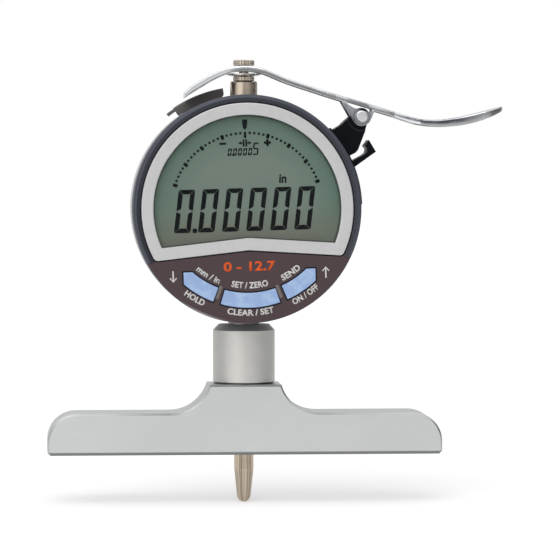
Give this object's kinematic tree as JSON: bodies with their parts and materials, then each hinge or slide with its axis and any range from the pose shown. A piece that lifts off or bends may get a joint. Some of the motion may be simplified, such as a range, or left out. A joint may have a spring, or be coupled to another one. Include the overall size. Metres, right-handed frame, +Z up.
{
  "type": "digital depth gauge",
  "caption": "Round digital gauge head on a flat bridge base, with a sliding spindle and a lifting lever.",
  "frame": {"origin": "centre of the base's measuring face, on the spindle axis", "axes": "+X to the right along the base seen from the display, +Y away from the display, +Z up along the spindle"},
  "size_m": [0.118, 0.0283, 0.1141],
  "materials": {
    "base_steel": "satin ground",
    "collar_steel": "satin turned",
    "stainless": "turned",
    "nickel": "bright nickel",
    "lever_chrome": "satin chrome",
    "screw_steel": "bright",
    "brass": "turned",
    "case_black": "gloss moulded",
    "bezel_grey": "semi-gloss moulded",
    "bracket_black": "matt moulded",
    "frame_silver": "silver paint",
    "lens_clear": "clear",
    "lcd_grey": "liquid crystal cell",
    "holder_white": "moulded",
    "key_blue": "moulded",
    "rubber_black": "matt",
    "rubber_grey": "matt",
    "board_green": "solder mask",
    "scale_glass": "graduated glass",
    "sensor_black": "moulded",
    "contact_sheet": "plated",
    "spring_steel": "wire"
  },
  "bodies": {
    "stand": {"base": "base_steel", "clamp_collar": "collar_steel", "collar_screw": "screw_steel", "stem": "stainless", "lower_bush": "brass", "upper_bush": "brass", "upper_sleeve": "nickel", "case_body": "case_black", "case_back": "case_black", "case_screws": "screw_steel", "battery_lid": "case_black", "lid_screws": "screw_steel", "battery": "stainless", "battery_contact_front": "contact_sheet", "battery_contact_rear": "contact_sheet", "data_connector": "sensor_black", "guide_rail": "stainless", "rail_screws": "screw_steel", "detector": "sensor_black", "main_board": "board_green", "board_screws": "screw_steel", "spring_post": "screw_steel", "return_spring": "spring_steel", "lever_bracket": "bracket_black", "bracket_screws": "screw_steel"},
    "spindle_unit": {"spindle": "stainless", "contact_point": "nickel", "spindle_cap": "nickel", "dished_washer": "nickel", "lifting_knob": "nickel", "scale_carrier": "stainless", "carrier_screw": "screw_steel", "guide_pin": "spring_steel", "main_scale": "scale_glass"},
    "lever": {"lifting_lever": "lever_chrome", "lever_pin": "lever_chrome"},
    "face": {"bezel": "bezel_grey", "display_frame": "frame_silver", "display_lens": "lens_clear", "lcd_panel": "lcd_grey", "lcd_holder": "holder_white", "zebra_strip_upper": "rubber_grey", "zebra_strip_lower": "rubber_grey", "display_board": "board_green", "key_mat": "rubber_grey", "face_back": "case_black", "face_screws": "screw_steel", "retaining_ring": "spring_steel"},
    "left_key": {"key_left": "key_blue"},
    "centre_key": {"key_centre": "key_blue"},
    "right_key": {"key_right": "key_blue"},
    "port_cover": {"data_port_cover": "rubber_black"}
  },
  "joints": [
    {"name": "spindle_slide", "type": "slide", "parent": "stand", "child": "spindle_unit", "axis": [0, 0, 1], "range_m": [0, 0.0127], "stiffness_N_per_m": 47, "springref_m": -0.019, "deforming": ["return_spring"]},
    {"name": "lever_swing", "type": "hinge", "parent": "stand", "child": "lever", "pos_m": [0.0302, 0, 0.0869], "axis": [0, 1, 0], "range_deg": [0, 24.4]},
    {"name": "face_turn", "type": "hinge", "parent": "stand", "child": "face", "pos_m": [0, 0, 0.0632], "axis": [0, 1, 0], "range_deg": [-165, 168]},
    {"name": "key_left_press", "type": "slide", "parent": "face", "child": "left_key", "axis": [0, 1, 0], "range_m": [0, 0.0006], "stiffness_N_per_m": 2500, "springref_m": -0.0002},
    {"name": "key_centre_press", "type": "slide", "parent": "face", "child": "centre_key", "axis": [0, 1, 0], "range_m": [0, 0.0006], "stiffness_N_per_m": 2500, "springref_m": -0.0002},
    {"name": "key_right_press", "type": "slide", "parent": "face", "child": "right_key", "axis": [0, 1, 0], "range_m": [0, 0.0006], "stiffness_N_per_m": 2500, "springref_m": -0.0002},
    {"name": "port_cover_open", "type": "hinge", "parent": "stand", "child": "port_cover", "pos_m": [-0.00609, 0, 0.09288], "axis": [0, 1, 0], "range_deg": [0, 80]}
  ],
  "couplings": [
    {"joint": "lever_swing", "follows": "spindle_slide", "rad_per_m": 33.113}
  ]
}
